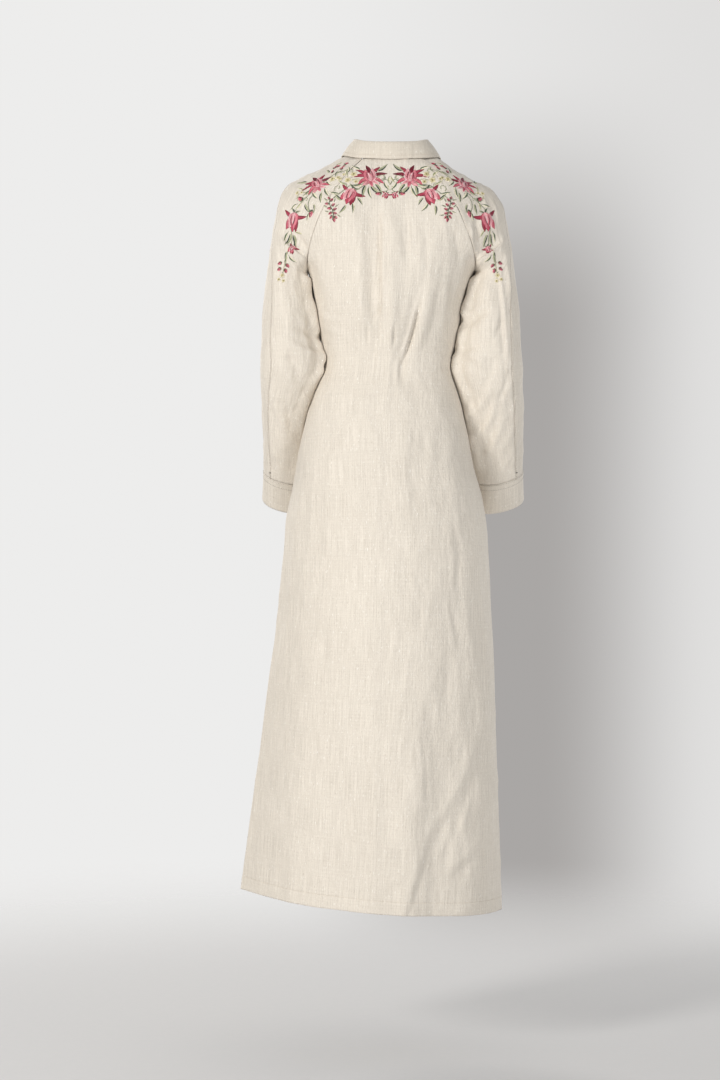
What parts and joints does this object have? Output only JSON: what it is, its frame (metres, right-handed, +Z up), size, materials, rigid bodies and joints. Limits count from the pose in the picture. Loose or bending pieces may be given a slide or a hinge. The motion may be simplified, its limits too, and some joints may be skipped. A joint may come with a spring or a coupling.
{
  "type": "kurta tunic",
  "caption": "long worn linen kurta tunic with shirt collar, raglan sleeves, band cuffs, fitted waist, flared skirt and floral embroidery across the back yoke and down the sleeves",
  "frame": {"origin": "the nape, at the middle of the back neck seam, where the garment hangs on its wearer", "axes": "+Z up along the wearer's back, the front of the garment faces -Y, the wearer's left is +X"},
  "size_m": [0.505, 0.3489, 1.3541],
  "materials": {
    "linen": "undyed plain-weave linen, matt, washed",
    "button_shell": "pale shell-like button, satin",
    "embroidery": "satin-stitched thread in pinks, reds, greens and cream",
    "sewing_thread": "matt sewing thread"
  },
  "bodies": {
    "root": {"back": "linen", "front": "linen", "sleeve_back_left": "linen", "sleeve_front_left": "linen", "sleeve_back_right": "linen", "sleeve_front_right": "linen", "cuff_left": "linen", "cuff_right": "linen", "collar_stand": "linen", "collar_leaf": "linen", "placket": "linen", "button_collar": "button_shell", "button_1": "button_shell", "button_2": "button_shell", "button_3": "button_shell", "button_4": "button_shell", "button_5": "button_shell"}
  },
  "joints": []
}
